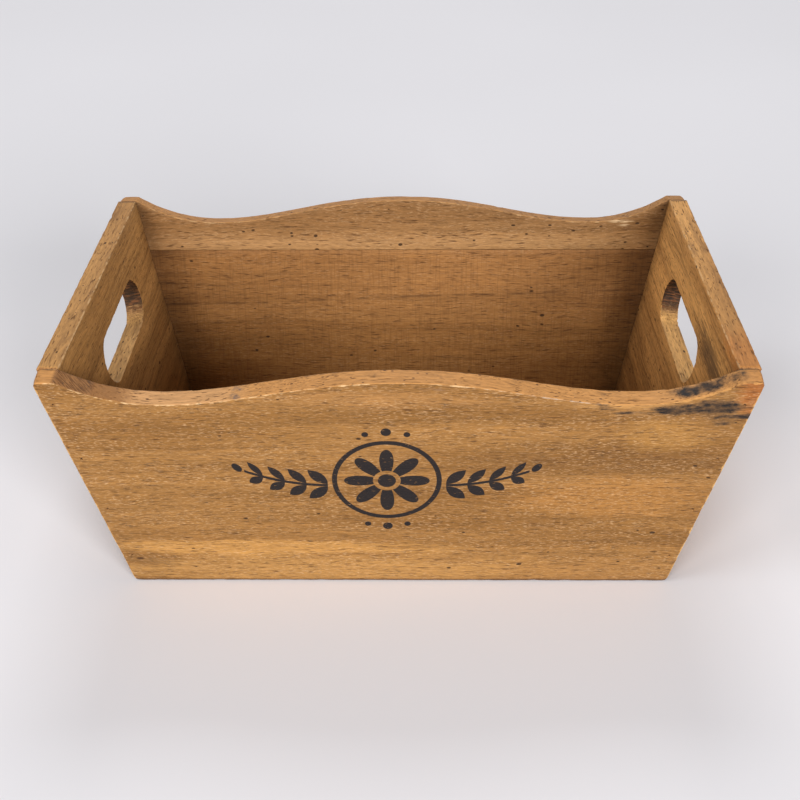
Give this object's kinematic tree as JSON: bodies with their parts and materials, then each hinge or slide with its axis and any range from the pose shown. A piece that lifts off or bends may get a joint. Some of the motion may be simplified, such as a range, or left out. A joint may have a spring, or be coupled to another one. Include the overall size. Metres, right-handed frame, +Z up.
{
  "type": "wooden crate",
  "caption": "Open flared wooden crate with a wavy rim at front and back, leaning ends with hand slots, and butt corners held by sunk brads",
  "frame": {"origin": "on the floor, under the middle of the crate", "axes": "+X along the length to the right, +Y from the front to the back, +Z up"},
  "size_m": [0.3198, 0.1994, 0.132],
  "materials": {
    "front_wood": "brown stain over a light soft wood, worn pale along the edges",
    "back_upper_wood": "brown stain, pitted face",
    "back_lower_wood": "darker brown stain, smooth face",
    "end_wood": "brown stain, golden where it is rubbed",
    "base_wood": "darker brown stain",
    "brad_steel": "dull dark steel"
  },
  "bodies": {
    "root": {"front_panel": "front_wood", "back_lower_board": "back_lower_wood", "back_upper_board": "back_upper_wood", "left_end_panel": "end_wood", "right_end_panel": "end_wood", "base_panel": "base_wood", "corner_brad_front_left_1": "brad_steel", "corner_brad_front_left_2": "brad_steel", "corner_brad_front_left_3": "brad_steel", "corner_brad_front_left_4": "brad_steel", "corner_brad_front_right_1": "brad_steel", "corner_brad_front_right_2": "brad_steel", "corner_brad_front_right_3": "brad_steel", "corner_brad_front_right_4": "brad_steel", "corner_brad_back_left_1": "brad_steel", "corner_brad_back_left_2": "brad_steel", "corner_brad_back_left_3": "brad_steel", "corner_brad_back_left_4": "brad_steel", "corner_brad_back_right_1": "brad_steel", "corner_brad_back_right_2": "brad_steel", "corner_brad_back_right_3": "brad_steel", "corner_brad_back_right_4": "brad_steel", "base_brad_left_1": "brad_steel", "base_brad_left_2": "brad_steel", "base_brad_left_3": "brad_steel", "base_brad_right_1": "brad_steel", "base_brad_right_2": "brad_steel", "base_brad_right_3": "brad_steel"}
  },
  "joints": []
}
